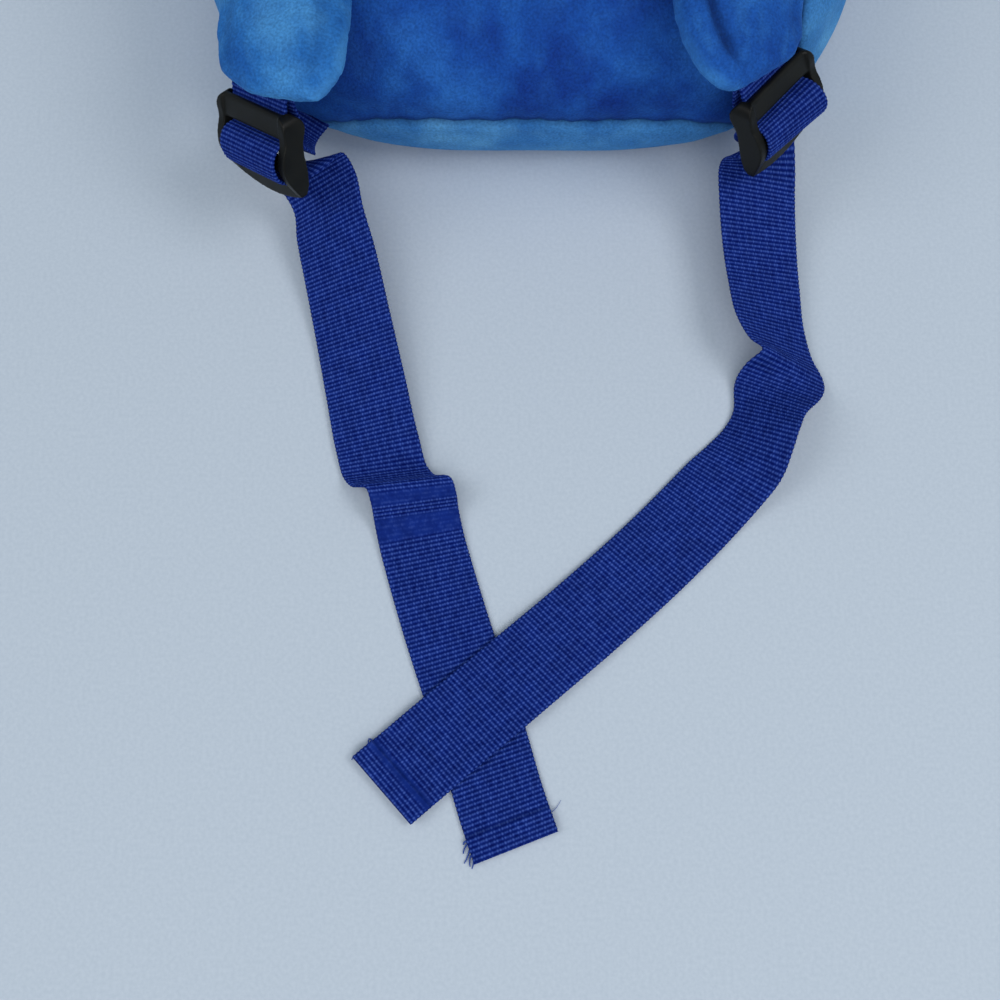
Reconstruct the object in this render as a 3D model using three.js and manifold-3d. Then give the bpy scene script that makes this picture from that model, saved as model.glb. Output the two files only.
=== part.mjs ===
// A small plush backpack that lies on its front, with both webbing tails on the floor.
// The frame: origin in the middle of the front panel's resting face, +Z up out of the back panel,
// +Y towards the top of the bag and +X to the right as the back panel is looked at. Millimetres.
import * as THREE from "three";
import { mergeVertices } from "three/addons/utils/BufferGeometryUtils.js";
import Module from "manifold-3d";

const wasm = await Module();
wasm.setup();

// The bag's outline along its seam is two half superellipses, squarer at the bottom than at the top.
const BAG_HALF_WIDTH = 105;
const BAG_HALF_HEIGHT = 130.5;
const BOTTOM_POWER = 3.2;
const TOP_POWER = 2.3;
const OUTLINE_STEPS = 72;
const PLUSH_WALL = 3;
const GAP = 0.3;
const SOCKET_GAP = 0.45;
const SEAM_GAP = 0.6;

// Height of the seam at a direction counted either way from the bottom of the bag. The sewn webbing
// pulls it down at both bottom corners.
const SEAM_ROWS = [
  { direction: 0, height: 29.7 },
  { direction: 12, height: 29 },
  { direction: 20, height: 26 },
  { direction: 24, height: 20.5 },
  { direction: 28, height: 14.5 },
  { direction: 35, height: 14.5 },
  { direction: 40, height: 42 },
  { direction: 46, height: 48 },
  { direction: 64, height: 49 },
  { direction: 90, height: 44 },
  { direction: 114, height: 30 },
  { direction: 180, height: 30 },
];

// The middle of each panel and the wall between them. A row lies at share times the outline's radius
// less inset, at a height above the floor.
const FRONT_MIDDLE = [
  { share: 0, inset: 0, height: 0 },
  { share: 0.55, inset: 0, height: 0 },
];
const BACK_MIDDLE = [
  { share: 0, inset: 0, height: 66 },
  { share: 0.28, inset: 0, height: 65.5 },
  { share: 0.55, inset: 0, height: 63.5 },
];
const WALL_ROWS = [
  { inset: 24, height: 0 },
  { inset: 11, height: 2 },
  { inset: 3, height: 7 },
  { inset: -0.8, height: 14 },
  { inset: -1.5, height: 22 },
  { inset: 0, height: 30 },
  { inset: 0.8, height: 38 },
  { inset: 5, height: 45.5 },
  { inset: 14, height: 53 },
  { inset: 30, height: 59 },
];
const WALL_STEPS = 6;

// The zip fills a slot in the top seam, between two directions from the middle of the bag.
const ZIP_HEIGHT = 30;
const ZIP_FROM = 28;
const ZIP_TO = 152;
const ZIP_STEPS = 28;
const ZIP_HALF_TAPE = 5.7;
const ZIP_TAPE = 2;
const ZIP_COIL_WIDTH = 3;
const ZIP_COIL_RISE = 1.3;
const ZIP_SLIDER_ANGLE = 4;
const SLOT_INWARD = 14;
const SLOT_OUTWARD = 10;

// Inset of the zip tape's lower edge, of its middle and of its upper edge.
const ZIP_LEAN = { low: -3.4, middle: 0.4, high: 0.9 };

// Webbing and the ladder-lock buckles that it threads.
const WEBBING_WIDTH = 25;
const WEBBING_THICKNESS = 1.4;
const HEM_THICKNESS = 2.6;
const HEM_LENGTH = 7.5;
const HEM_STEP = 0.6;
const BUCKLE_INNER = 25.7;
const BUCKLE_ARM = 3;
const ANCHOR_BAR = { along: -1.4, out: -4.8, radius: 1.1 };
const GRIP_BAR = { along: -11, out: 2.2, radius: 2.3 };
const BAR_ROOT = 1;
// The flat bar starts at the slot beside it and tilts down towards the strap.
const FLAT_BAR = { along: -3.8, out: 0.3, depth: 7.4, thick: 2.4, tilt: -15 };
const TAB_START = -18.6;
const TAB_END = -21.2;
const TAB_ARCH = 3.2;
const TAB_THICKNESS = 2.4;
const TAB_LIFT = 0.6;
const CORNER_RADIUS = { strap: 3.6, tab: 5 };

// A buckle's arm from its strap end to its tab end: its upper and its lower edge.
const ARM_ROWS = [
  { along: 3.4, top: -0.4, bottom: -2.9 },
  { along: 2.6, top: 0.4, bottom: -4 },
  { along: 1, top: 1, bottom: -5.4 },
  { along: -0.6, top: 1.4, bottom: -6.1 },
  { along: -2.4, top: 1.6, bottom: -6.1 },
  { along: -4.4, top: 2.2, bottom: -5 },
  { along: -7, top: 3.8, bottom: -3.7 },
  { along: -11, top: 5, bottom: -3.1 },
  { along: -15, top: 4.4, bottom: -2.7 },
  { along: -19, top: 2.8, bottom: -1.6 },
  { along: -21.6, top: 1.6, bottom: 0 },
];

// Each buckle's flat bar: the place of its middle and its attitude in degrees.
const BUCKLE_POSES = {
  left: { x: -79.6, y: -137.6, z: 45.4, yaw: 20, pitch: 60.5, roll: -62 },
  right: { x: 70.4, y: -127.4, z: 43.7, yaw: 26, pitch: 69, roll: 24.5 },
};

// A strap's rows run from its sewn top to its nose: the middle of the strap, the plan direction and
// the tilt of its width, and its half width and thickness.
const STRAP_ROWS = {
  left: [
    { x: -33, y: 98, z: 61.2, turn: -8, bank: 0, half: 13, thick: 4 },
    { x: -36, y: 86, z: 64.6, turn: -8, bank: 0, half: 17, thick: 7 },
    { x: -45, y: 55, z: 78, turn: -9, bank: 0, half: 20, thick: 11 },
    { x: -57, y: 5, z: 86, turn: -8, bank: 2, half: 21, thick: 11 },
    { x: -64, y: -45, z: 80, turn: -5, bank: 5, half: 21.5, thick: 11 },
    { x: -68.1, y: -88, z: 67, turn: -2, bank: 11, half: 21.8, thick: 11 },
    { x: -69.1, y: -112, z: 61.5, turn: -4, bank: 15, half: 20.8, thick: 11 },
    { x: -69.7, y: -126.5, z: 61.2, turn: -10, bank: 18, half: 20.1, thick: 10.5 },
    { x: -70.3, y: -135, z: 60.9, turn: -14, bank: 20, half: 18.2, thick: 9 },
    { x: -69.2, y: -140.5, z: 60.6, turn: -18, bank: 21, half: 12.2, thick: 5 },
  ],
  right: [
    { x: 33, y: 98, z: 61.2, turn: 8, bank: 0, half: 13, thick: 4 },
    { x: 36, y: 86, z: 64.6, turn: 8, bank: 0, half: 17, thick: 7 },
    { x: 43, y: 55, z: 78, turn: 8, bank: 0, half: 20, thick: 11 },
    { x: 50, y: 5, z: 86, turn: 6, bank: -2, half: 21, thick: 11 },
    { x: 54, y: -45, z: 80, turn: 3, bank: -4, half: 21.5, thick: 11 },
    { x: 55.8, y: -88, z: 67.5, turn: 3, bank: -8, half: 22, thick: 11 },
    { x: 57, y: -108, z: 63.5, turn: 15, bank: -11, half: 21.2, thick: 11 },
    { x: 58.3, y: -121.5, z: 61.2, turn: 26, bank: -14, half: 19.2, thick: 10.5 },
    { x: 60.7, y: -128.2, z: 60.2, turn: 32, bank: -15, half: 17.4, thick: 9 },
    { x: 62.8, y: -132.6, z: 59.4, turn: 38, bank: -15, half: 13.6, thick: 5 },
  ],
};
const STRAP_SIDES = 14;
const STRAP_SQUARENESS = 0.72;

// About how far apart the sections of each kind of swept piece lie.
const STRAP_SPACING = 9;
const LOOP_SPACING = 4;
const WEBBING_SPACING = 8;

// Webbing in a buckle's own frame, as it climbs behind the grip bar, folds over it and leaves under
// the tab: across the buckle, along it, out of its face, and the lean of its width out of the face.
const THREADING_ROWS = {
  left: [
    { across: 0, along: -9.6, out: -5.4, lean: 0 },
    { across: 0, along: -6.4, out: -2.8, lean: 0 },
    { across: 0, along: -5.1, out: 0.4, lean: 0 },
    { across: 0, along: -5.4, out: 3.4, lean: 0 },
    { across: 0, along: -7.8, out: 5.7, lean: 0 },
    { across: 0, along: -11.2, out: 6.3, lean: 0 },
    { across: 0, along: -14.4, out: 5.4, lean: 0 },
    { across: 0, along: -16.4, out: 3, lean: 0 },
    { across: 0, along: -17.4, out: -0.4, lean: 0 },
    { across: 0, along: -18.4, out: -4.2, lean: 0 },
  ],
  right: [
    { across: 0, along: -9.6, out: -5.4, lean: 0 },
    { across: 0, along: -6.4, out: -2.8, lean: 0 },
    { across: 0, along: -5.1, out: 0.4, lean: 0 },
    { across: 0, along: -5.4, out: 3.6, lean: 3 },
    { across: 0, along: -7.8, out: 6.3, lean: 6 },
    { across: 0, along: -11.2, out: 7, lean: 7 },
    { across: 0, along: -14.4, out: 5.8, lean: 5 },
    { across: 0, along: -16.4, out: 3, lean: 2 },
    { across: 0, along: -17.4, out: -0.4, lean: 0 },
    { across: 0, along: -18.4, out: -4.2, lean: 0 },
  ],
};

// Tail rows run from under the tab to the free end: the middle of the webbing, the plan direction
// and the tilt of its width.
const TAIL_ROWS = {
  left: [
    { x: -66.8, y: -141.4, z: 22.4, turn: 8, bank: 30 },
    { x: -62.4, y: -147, z: 18.6, turn: 14, bank: 34 },
    { x: -60.8, y: -155.8, z: 14.4, turn: 14, bank: 30 },
    { x: -58.2, y: -166, z: 10.4, turn: 13, bank: 24 },
    { x: -54.4, y: -183, z: 6.6, turn: 13, bank: 20 },
    { x: -49.8, y: -204, z: 4.2, turn: 13, bank: 13 },
    { x: -45.8, y: -222, z: 2.5, turn: 12, bank: 5 },
    { x: -43.4, y: -229.6, z: 1.8, turn: 8, bank: 1 },
    { x: -40, y: -233.5, z: 4.8, turn: 7, bank: 0 },
    { x: -35.4, y: -236.2, z: 9, turn: 7, bank: 0 },
    { x: -34.6, y: -239.6, z: 6.8, turn: 8, bank: 0 },
    { x: -33.9, y: -244, z: 2.4, turn: 9, bank: 0 },
    { x: -32.2, y: -251.5, z: 1.2, turn: 12, bank: 0 },
    { x: -30.4, y: -258, z: 0.9, turn: 13.5, bank: 0 },
    { x: -25.6, y: -274, z: 0.8, turn: 16, bank: 0 },
    { x: -15, y: -306, z: 0.8, turn: 18, bank: 0 },
    { x: -8.8, y: -327, z: 0.8, turn: 20, bank: 0 },
    { x: -5, y: -338, z: 0.8, turn: 21, bank: 0 },
  ],
  right: [
    { x: 69, y: -133.8, z: 19.6, turn: 22, bank: -16 },
    { x: 68.2, y: -141.8, z: 16.4, turn: -2, bank: -15 },
    { x: 68.4, y: -149, z: 14, turn: -2, bank: -16 },
    { x: 69, y: -160, z: 11, turn: 1, bank: -18 },
    { x: 70, y: -173, z: 9.6, turn: 0, bank: -22 },
    { x: 71.8, y: -187, z: 9.2, turn: -3, bank: -28 },
    { x: 74.5, y: -194, z: 8.6, turn: -7, bank: -32 },
    { x: 77.6, y: -198.8, z: 8.3, turn: -13, bank: -33 },
    { x: 75.2, y: -202.5, z: 6.3, turn: -20, bank: -6 },
    { x: 70.6, y: -209, z: 7.4, turn: -30, bank: 27 },
    { x: 68.6, y: -216, z: 9.1, turn: -33, bank: 40 },
    { x: 66, y: -222, z: 7.9, turn: -34, bank: 35 },
    { x: 62.6, y: -227.5, z: 5.4, turn: -34, bank: 21 },
    { x: 56.5, y: -234, z: 2.4, turn: -35, bank: 6 },
    { x: 40, y: -251, z: 1.1, turn: -40, bank: 0 },
    { x: 16, y: -273, z: 1.8, turn: -43, bank: 0 },
    { x: -4, y: -290, z: 2.7, turn: -44, bank: 0 },
    { x: -26, y: -308.5, z: 2.7, turn: -46, bank: 0 },
    { x: -34.4, y: -315.6, z: 2.3, turn: -47, bank: 0 },
    { x: -42.6, y: -322.5, z: 2, turn: -48, bank: 0 },
  ],
};

// The direction of the sewn webbing ends from the middle of the bag, below the X axis, and how far
// the rows of a sewn end lie outside the seam.
const CORNER_ANGLE = 58;
const SEWN_DISTANCES = [-6, 0, 2.5];

// The short loop in a buckle's own frame as it goes behind the flat bar, round the anchor bar and back,
// and how far its ends in the strap lie from the strap's middle line.
const LOOP_ROWS = [
  { across: 0, along: 4.8, out: -4.3, lean: 0 },
  { across: 0, along: 2.4, out: -3.65, lean: 0 },
  { across: 0, along: 0.2, out: -3.05, lean: 0 },
  { across: 0, along: -0.9, out: -2.8, lean: 0 },
  { across: 0, along: -2.5, out: -3, lean: 0 },
  { across: 0, along: -3.4, out: -4.3, lean: 0 },
  { across: 0, along: -3.2, out: -5.8, lean: 0 },
  { across: 0, along: -1.9, out: -6.8, lean: 0 },
  { across: 0, along: 0.4, out: -7, lean: 0 },
  { across: 0, along: 3.6, out: -6.8, lean: 0 },
];
const LOOP_SHIFT = { left: -3, right: 4 };

const RAD = Math.PI / 180;

// Plan radius of the seam in a direction from the middle of the bag.
function seamRadius(angle) {
  const power = Math.sin(angle) < 0 ? BOTTOM_POWER : TOP_POWER;
  const across = Math.abs(Math.cos(angle)) / BAG_HALF_WIDTH;
  const up = Math.abs(Math.sin(angle)) / BAG_HALF_HEIGHT;
  return (across ** power + up ** power) ** (-1 / power);
}

// Value of one column of a table where another column has a given value, on straight lines between rows.
function lookUp(rows, column, value, wanted) {
  const last = rows.length - 1;
  const next = rows.findIndex((row) => row[column] >= value);
  const i = next < 0 ? last : Math.max(next, 1);
  const share = (value - rows[i - 1][column]) / (rows[i][column] - rows[i - 1][column]);
  return rows[i - 1][wanted] + share * (rows[i][wanted] - rows[i - 1][wanted]);
}

function seamHeight(angle) {
  const fromBottom = Math.acos(-Math.sin(angle)) / RAD;
  return lookUp(SEAM_ROWS, "direction", fromBottom, "height");
}

function seamPoint(angle, inset, height) {
  const radius = seamRadius(angle) - inset;
  return new THREE.Vector3(radius * Math.cos(angle), radius * Math.sin(angle), height);
}

// A closed geometry from its points and the triangles between them.
function closedGeometry(points, triangles) {
  const geometry = new THREE.BufferGeometry().setFromPoints(points);
  geometry.setIndex(triangles);
  return geometry;
}

// A skin of equal rings, each with as many points, with flat caps on the first and the last ring.
// The far half of a ring is split the other way, so that a thin band keeps its thickness where it twists.
function loft(rings) {
  const sides = rings[0].length;
  const triangles = [];
  for (let ring = 0; ring + 1 < rings.length; ring++) {
    for (let side = 0; side < sides; side++) {
      const a = ring * sides + side;
      const b = ring * sides + ((side + 1) % sides);
      if (side < sides / 2) triangles.push(a, b, b + sides, a, b + sides, a + sides);
      else triangles.push(a, b, a + sides, b, b + sides, a + sides);
    }
  }
  const last = (rings.length - 1) * sides;
  for (let side = 1; side + 1 < sides; side++) {
    triangles.push(0, side + 1, side);
    triangles.push(last, last + side, last + side + 1);
  }
  return closedGeometry(rings.flat(), triangles);
}

// A closed geometry as a solid that can be joined and cut, and back again.
function solidOf(geometry) {
  const bare = geometry.clone();
  bare.deleteAttribute("normal");
  bare.deleteAttribute("uv");
  const merged = mergeVertices(bare, 1e-4);
  const mesh = new wasm.Mesh({
    numProp: 3,
    vertProperties: new Float32Array(merged.attributes.position.array),
    triVerts: new Uint32Array(merged.index.array),
  });
  return new wasm.Manifold(mesh);
}

function geometryOf(solid) {
  const { vertProperties, triVerts } = solid.getMesh();
  const geometry = new THREE.BufferGeometry();
  geometry.setAttribute("position", new THREE.BufferAttribute(vertProperties, 3));
  geometry.setIndex(new THREE.BufferAttribute(triVerts, 1));
  return geometry;
}

// Rows filled in along a smooth curve that passes through each of them, in steps of about spacing.
function smoothRows(rows, spacing) {
  const columns = Object.keys(rows[0]);
  const spans = rows.slice(1).map((row, i) => {
    const before = rows[i];
    return Math.hypot(row.x - before.x, row.y - before.y, row.z - before.z);
  });
  const rise = (i, column) => (rows[i + 1][column] - rows[i][column]) / spans[i];
  const slope = (i, column) => {
    if (i === 0) return rise(0, column);
    if (i === rows.length - 1) return rise(i - 1, column);
    const [before, after] = [spans[i - 1], spans[i]];
    return (rise(i - 1, column) * after + rise(i, column) * before) / (before + after);
  };
  const filled = [];
  spans.forEach((span, i) => {
    const steps = Math.max(2, Math.round(span / spacing));
    for (let step = 0; step < steps; step++) {
      const t = step / steps;
      const row = {};
      for (const column of columns) {
        const start = rows[i][column];
        const end = rows[i + 1][column];
        const leaving = slope(i, column) * span * t * (1 - t) ** 2;
        const arriving = slope(i + 1, column) * span * t * t * (1 - t);
        row[column] = start + (end - start) * t * t * (3 - 2 * t) + leaving - arriving;
      }
      filled.push(row);
    }
  });
  filled.push({ ...rows[rows.length - 1] });
  return filled;
}

// The middle, side and face directions at each row of a strap or webbing.
function frames(rows) {
  const middles = rows.map((row) => new THREE.Vector3(row.x, row.y, row.z));
  return rows.map((row, i) => {
    const ahead = middles[Math.min(i + 1, rows.length - 1)];
    const behind = middles[Math.max(i - 1, 0)];
    const along = ahead.clone().sub(behind).normalize();
    const level = Math.cos(row.bank * RAD);
    const side = new THREE.Vector3(
      Math.cos(row.turn * RAD) * level,
      Math.sin(row.turn * RAD) * level,
      Math.sin(row.bank * RAD),
    );
    const face = along.cross(side).normalize();
    return { middle: middles[i], side, face };
  });
}

// A strap or webbing with one section for each row, given as offsets across and out of its face.
function sections(rows, section) {
  const placed = frames(rows);
  return rows.map((row, i) => {
    const { middle, side, face } = placed[i];
    return section(row).map(([across, out]) =>
      middle.clone().addScaledVector(side, across).addScaledVector(face, out),
    );
  });
}

function sweep(rows, section) {
  return loft(sections(rows, section));
}

// Webbing that turns back at one row, as two lengths joined there, so that its layers may touch.
function folded(rows, fold, section) {
  const rings = sections(rows, section);
  const lengths = [rings.slice(0, fold + 1), rings.slice(fold)];
  return wasm.Manifold.union(lengths.map((length) => solidOf(loft(length))));
}

function webbingSection(grow) {
  return (row) => {
    const half = WEBBING_WIDTH / 2 + grow;
    const thick = row.thick / 2 + grow;
    return [
      [-half, -thick],
      [half, -thick],
      [half, thick],
      [-half, thick],
    ];
  };
}

// The wall's rows from one end of the wall table to the seam, in equal steps along the wall.
function wallRows(rows, seam) {
  const path = [{ ...rows[0], run: 0 }];
  for (const row of rows.slice(1)) {
    const before = path[path.length - 1];
    const step = Math.hypot(row.inset - before.inset, row.height - before.height);
    path.push({ ...row, run: before.run + step });
  }
  const climbing = path[path.length - 1].height > path[0].height;
  const byHeight = climbing ? path : [...path].reverse();
  const end = lookUp(byHeight, "height", seam, "run");
  const steps = [];
  for (let step = 0; step <= WALL_STEPS; step++) {
    const run = (end * step) / WALL_STEPS;
    const inset = lookUp(path, "run", run, "inset");
    steps.push({ share: 1, inset, height: lookUp(path, "run", run, "height") });
  }
  return steps;
}

// Direction of the wall at the seam, as its run outwards and its climb.
function wallSlope(seam) {
  const reach = 3;
  const below = lookUp(WALL_ROWS, "height", seam - reach, "inset");
  const above = lookUp(WALL_ROWS, "height", seam + reach, "inset");
  return { run: below - above, climb: 2 * reach };
}

// A panel is a wall that runs from its middle to the seam and is thickened towards the inside.
// Facing is 1 for the panel that looks up and -1 for the one that looks down.
function panel(middle, wall, facing) {
  const rings = [];
  for (let step = 0; step < OUTLINE_STEPS; step++) {
    const angle = (2 * Math.PI * step) / OUTLINE_STEPS;
    const seam = seamHeight(angle) + (facing * SEAM_GAP) / 2;
    const outside = [...middle, ...wallRows(wall, seam)].map((row) => ({
      radius: row.share * seamRadius(angle) - row.inset,
      height: row.height,
    }));
    const last = outside.length - 1;
    const rim = wallSlope(seam);
    const inside = outside.map((point, i) => {
      if (i === 0) return { radius: 0, height: point.height - facing * PLUSH_WALL };
      const ahead = outside[Math.min(i + 1, last)];
      const behind = outside[i - 1];
      const run = i === last ? -facing * rim.run : ahead.radius - behind.radius;
      const climb = i === last ? -facing * rim.climb : ahead.height - behind.height;
      const shift = (facing * PLUSH_WALL) / Math.hypot(run, climb);
      return { radius: point.radius + climb * shift, height: point.height - run * shift };
    });
    const loop = [...outside, ...inside.reverse()];
    rings.push(
      loop.map(
        ({ radius, height }) =>
          new THREE.Vector3(radius * Math.cos(angle), radius * Math.sin(angle), height),
      ),
    );
  }
  const count = rings[0].length;
  const triangles = [];
  const add = (a, b, c) => triangles.push(...(facing > 0 ? [a, b, c] : [a, c, b]));
  for (let step = 0; step < OUTLINE_STEPS; step++) {
    const here = step * count;
    const next = ((step + 1) % OUTLINE_STEPS) * count;
    for (let i = 0; i + 1 < count; i++) {
      if (i + 2 < count) add(here + i, here + i + 1, next + i + 1);
      if (i > 0) add(here + i, next + i + 1, next + i);
    }
  }
  return closedGeometry(rings.flat(), triangles);
}

// A band of the seam between two directions, from one inset to another and one height to another.
function seamBand(from, to, section) {
  const rings = [];
  for (let step = 0; step <= ZIP_STEPS; step++) {
    const angle = (to - ((to - from) * step) / ZIP_STEPS) * RAD;
    rings.push(section.map(([inset, height]) => seamPoint(angle, inset, height)));
  }
  return loft(rings);
}

// The slot that the zip fills, cut through both panels.
function zipSlot() {
  const low = ZIP_HEIGHT - ZIP_HALF_TAPE - GAP;
  const high = ZIP_HEIGHT + ZIP_HALF_TAPE + GAP;
  return solidOf(
    seamBand(ZIP_FROM, ZIP_TO, [
      [SLOT_INWARD, low],
      [-SLOT_OUTWARD, low],
      [-SLOT_OUTWARD, high],
      [SLOT_INWARD, high],
    ]),
  );
}

// The zip is a tape that leans from the front panel's edge to the back panel's, with its closed coil
// along the middle and a slider at one end.
function zip() {
  const low = ZIP_HEIGHT - ZIP_HALF_TAPE;
  const high = ZIP_HEIGHT + ZIP_HALF_TAPE;
  const lean = ZIP_LEAN;
  const tape = seamBand(ZIP_FROM + 0.2, ZIP_TO - 0.2, [
    [lean.low + ZIP_TAPE, low],
    [lean.low, low],
    [lean.middle, ZIP_HEIGHT],
    [lean.high, high],
    [lean.high + ZIP_TAPE, high],
    [lean.middle + ZIP_TAPE, ZIP_HEIGHT],
  ]);
  const coil = seamBand(ZIP_FROM + 0.5, ZIP_TO - 0.5, [
    [lean.middle + 1, ZIP_HEIGHT - ZIP_COIL_WIDTH / 2],
    [lean.middle - ZIP_COIL_RISE, ZIP_HEIGHT - ZIP_COIL_WIDTH / 2],
    [lean.middle - ZIP_COIL_RISE, ZIP_HEIGHT + ZIP_COIL_WIDTH / 2],
    [lean.middle + 1, ZIP_HEIGHT + ZIP_COIL_WIDTH / 2],
  ]);
  const slider = seamBand(ZIP_FROM + 1, ZIP_FROM + 1 + ZIP_SLIDER_ANGLE, [
    [lean.middle + 1, ZIP_HEIGHT - ZIP_COIL_WIDTH],
    [lean.middle - 2 * ZIP_COIL_RISE, ZIP_HEIGHT - ZIP_COIL_WIDTH],
    [lean.middle - 2 * ZIP_COIL_RISE, ZIP_HEIGHT + ZIP_COIL_WIDTH],
    [lean.middle + 1, ZIP_HEIGHT + ZIP_COIL_WIDTH],
  ]);
  return geometryOf(solidOf(tape).add(solidOf(coil)).add(solidOf(slider)));
}

// A padded strap has a soft oblong section.
function strapSection(row) {
  const points = [];
  for (let side = 0; side < STRAP_SIDES; side++) {
    const angle = (2 * Math.PI * side) / STRAP_SIDES;
    const [across, out] = [Math.cos(angle), Math.sin(angle)];
    points.push([
      row.half * Math.sign(across) * Math.abs(across) ** STRAP_SQUARENESS,
      (row.thick / 2) * Math.sign(out) * Math.abs(out) ** STRAP_SQUARENESS,
    ]);
  }
  return points;
}

// The frame of a buckle: its place and attitude as one matrix.
function buckleMatrix(pose) {
  const turn = new THREE.Euler(pose.pitch * RAD, pose.roll * RAD, pose.yaw * RAD, "ZXY");
  const matrix = new THREE.Matrix4().makeRotationFromEuler(turn);
  return matrix.setPosition(pose.x, pose.y, pose.z);
}

// Rows in a buckle's frame as rows of the bag's frame, with the width along the buckle's bars but for
// its lean.
function placedRows(rows, pose) {
  const matrix = buckleMatrix(pose);
  return rows.map(({ across, along, out, lean }) => {
    const { x, y, z } = new THREE.Vector3(across, along, out).applyMatrix4(matrix);
    const width = new THREE.Vector3(Math.cos(lean * RAD), 0, Math.sin(lean * RAD));
    width.transformDirection(matrix);
    const turn = Math.atan2(width.y, width.x) / RAD;
    const bank = Math.asin(width.z) / RAD;
    return { x, y, z, turn, bank, thick: WEBBING_THICKNESS };
  });
}

// The loop leaves the middle of the strap's end, goes round the anchor bar and comes back.
function loopRows(side) {
  const strap = STRAP_ROWS[side];
  const inside = strap[strap.length - 3];
  const { middle, side: across, face } = frames(strap)[strap.length - 3];
  const layer = (out) => {
    const { x, y, z } = middle
      .clone()
      .addScaledVector(face, out)
      .addScaledVector(across, LOOP_SHIFT[side]);
    return { x, y, z, turn: inside.turn, bank: inside.bank, thick: WEBBING_THICKNESS };
  };
  const spread = WEBBING_THICKNESS / 2 + GAP;
  return [layer(spread), ...placedRows(LOOP_ROWS, BUCKLE_POSES[side]), layer(-spread)];
}

// The same rows with both ends drawn out by a length.
function drawnOut(rows, length) {
  const move = (end, next) => {
    const way = new THREE.Vector3(end.x - next.x, end.y - next.y, end.z - next.z).setLength(length);
    return { ...end, x: end.x + way.x, y: end.y + way.y, z: end.z + way.z };
  };
  const last = rows.length - 1;
  return [move(rows[0], rows[1]), ...rows.slice(1, last), move(rows[last], rows[last - 1])];
}

// One length of webbing from its sewn end in the corner seam, through the buckle, to its hem.
function webbingRows(side) {
  const angle = (side === "left" ? -180 + CORNER_ANGLE : -CORNER_ANGLE) * RAD;
  const nearby = 3 * RAD;
  const tangent = seamPoint(angle + nearby, 0, 0).sub(seamPoint(angle - nearby, 0, 0)).normalize();
  const outward = new THREE.Vector3(tangent.y, -tangent.x, 0);
  const turn = Math.atan2(tangent.y, tangent.x) / RAD;
  const sewn = SEWN_DISTANCES.map((distance) => {
    const { x, y } = seamPoint(angle, 0, 0).addScaledVector(outward, distance);
    return { x, y, z: seamHeight(angle), turn, bank: 0, thick: WEBBING_THICKNESS };
  });
  const tail = TAIL_ROWS[side].map((row) => ({ ...row, thick: WEBBING_THICKNESS }));
  return [...sewn, ...placedRows(THREADING_ROWS[side], BUCKLE_POSES[side]), ...tail];
}

// An outline in a buckle's side view, pulled across the buckle from one side to the other.
function acrossBuckle(shape, from, to, curveSegments) {
  const depth = to - from;
  const geometry = new THREE.ExtrudeGeometry(shape, { depth, bevelEnabled: false, curveSegments });
  geometry.translate(0, 0, from);
  const sideView = new THREE.Matrix4().makeBasis(
    new THREE.Vector3(0, 1, 0),
    new THREE.Vector3(0, 0, 1),
    new THREE.Vector3(1, 0, 0),
  );
  return solidOf(geometry.applyMatrix4(sideView));
}

function roundBar(bar) {
  const shape = new THREE.Shape();
  shape.absarc(bar.along, bar.out, bar.radius, 0, 2 * Math.PI, false);
  return shape;
}

function flatBar() {
  const radius = FLAT_BAR.thick / 2;
  const tilt = FLAT_BAR.tilt * RAD;
  const quarter = Math.PI / 2;
  const shape = new THREE.Shape();
  const addEnd = (reach, from) => {
    const along = FLAT_BAR.along + reach * Math.cos(tilt);
    const out = FLAT_BAR.out + reach * Math.sin(tilt);
    shape.absarc(along, out, radius, from, from + Math.PI, false);
  };
  addEnd(FLAT_BAR.depth - radius, tilt - quarter);
  addEnd(radius, tilt + quarter);
  return shape;
}

function arm() {
  const top = ARM_ROWS.map((row) => new THREE.Vector2(row.along, row.top));
  const bottom = ARM_ROWS.map((row) => new THREE.Vector2(row.along, row.bottom)).reverse();
  const shape = new THREE.Shape();
  shape.moveTo(top[0].x, top[0].y);
  shape.splineThru(top.slice(1));
  shape.lineTo(bottom[0].x, bottom[0].y);
  shape.splineThru(bottom.slice(1));
  return shape;
}

// The tab's end is arched, so that a thumb can lift it.
function tab() {
  const half = BUCKLE_INNER / 2 + BUCKLE_ARM;
  const shape = new THREE.Shape();
  shape.moveTo(-half, TAB_START);
  shape.lineTo(-half, TAB_END);
  shape.quadraticCurveTo(0, TAB_END - 2 * TAB_ARCH, half, TAB_END);
  shape.lineTo(half, TAB_START);
  const depth = TAB_THICKNESS;
  const geometry = new THREE.ExtrudeGeometry(shape, { depth, bevelEnabled: false, curveSegments: 10 });
  return solidOf(geometry.translate(0, 0, TAB_LIFT - TAB_THICKNESS / 2));
}

// The room that a buckle fills, with its plan corners rounded.
function roundedPlan() {
  const half = BUCKLE_INNER / 2 + BUCKLE_ARM;
  const high = ARM_ROWS[0].along;
  const low = TAB_END - TAB_ARCH;
  const { strap, tab: thumb } = CORNER_RADIUS;
  const shape = new THREE.Shape();
  shape.absarc(half - strap, high - strap, strap, 0, Math.PI / 2, false);
  shape.absarc(strap - half, high - strap, strap, Math.PI / 2, Math.PI, false);
  shape.absarc(thumb - half, low + thumb, thumb, Math.PI, (3 * Math.PI) / 2, false);
  shape.absarc(half - thumb, low + thumb, thumb, (3 * Math.PI) / 2, 2 * Math.PI, false);
  const depth = 2 * half;
  const geometry = new THREE.ExtrudeGeometry(shape, { depth, bevelEnabled: false, curveSegments: 5 });
  return solidOf(geometry.translate(0, 0, -half));
}

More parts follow.
